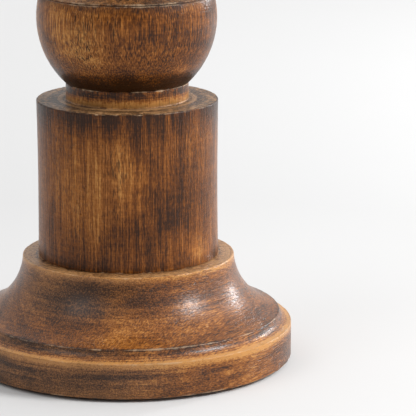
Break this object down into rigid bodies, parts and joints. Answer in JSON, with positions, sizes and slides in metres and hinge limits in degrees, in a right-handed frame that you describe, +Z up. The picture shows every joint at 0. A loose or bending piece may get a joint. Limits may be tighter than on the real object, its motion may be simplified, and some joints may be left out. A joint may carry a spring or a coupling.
{
  "type": "wooden candlestick",
  "caption": "Turned wooden candlestick: moulded round foot, drum, ball and slender stem carrying a dish with a loose metal pan and spike for a pillar candle.",
  "frame": {"origin": "centre of the foot on the surface that it stands on, at the underside of the felt pads", "axes": "+Z up along the turning axis; the candlestick is round, so +X and +Y only place the pads, which lie at 45 degrees to them"},
  "size_m": [0.14, 0.14, 0.3051],
  "materials": {
    "foot_wood": "dark brown stain and satin wax, flat-sawn grain",
    "stem_wood": "dark brown stain and satin wax, upright grain",
    "zinc_steel": "bright zinc plate",
    "pan_metal": "dark bronze-brown enamel, satin",
    "felt": "dark brown pressed felt"
  },
  "bodies": {
    "candlestick": {"felt_pads": "felt", "base": "foot_wood", "column": "stem_wood", "ball": "stem_wood", "stem": "stem_wood", "dish": "foot_wood", "tie_rod": "zinc_steel", "foot_washer": "zinc_steel", "foot_nut": "zinc_steel", "top_washer": "zinc_steel", "top_nut": "zinc_steel"},
    "pan": {"candle_pan": "pan_metal", "pan_washer": "pan_metal", "pricket": "pan_metal"}
  },
  "joints": [
    {"name": "pan_lift", "type": "slide", "parent": "candlestick", "child": "pan", "axis": [0, 0, 1], "range_m": [0, 0.03]}
  ]
}
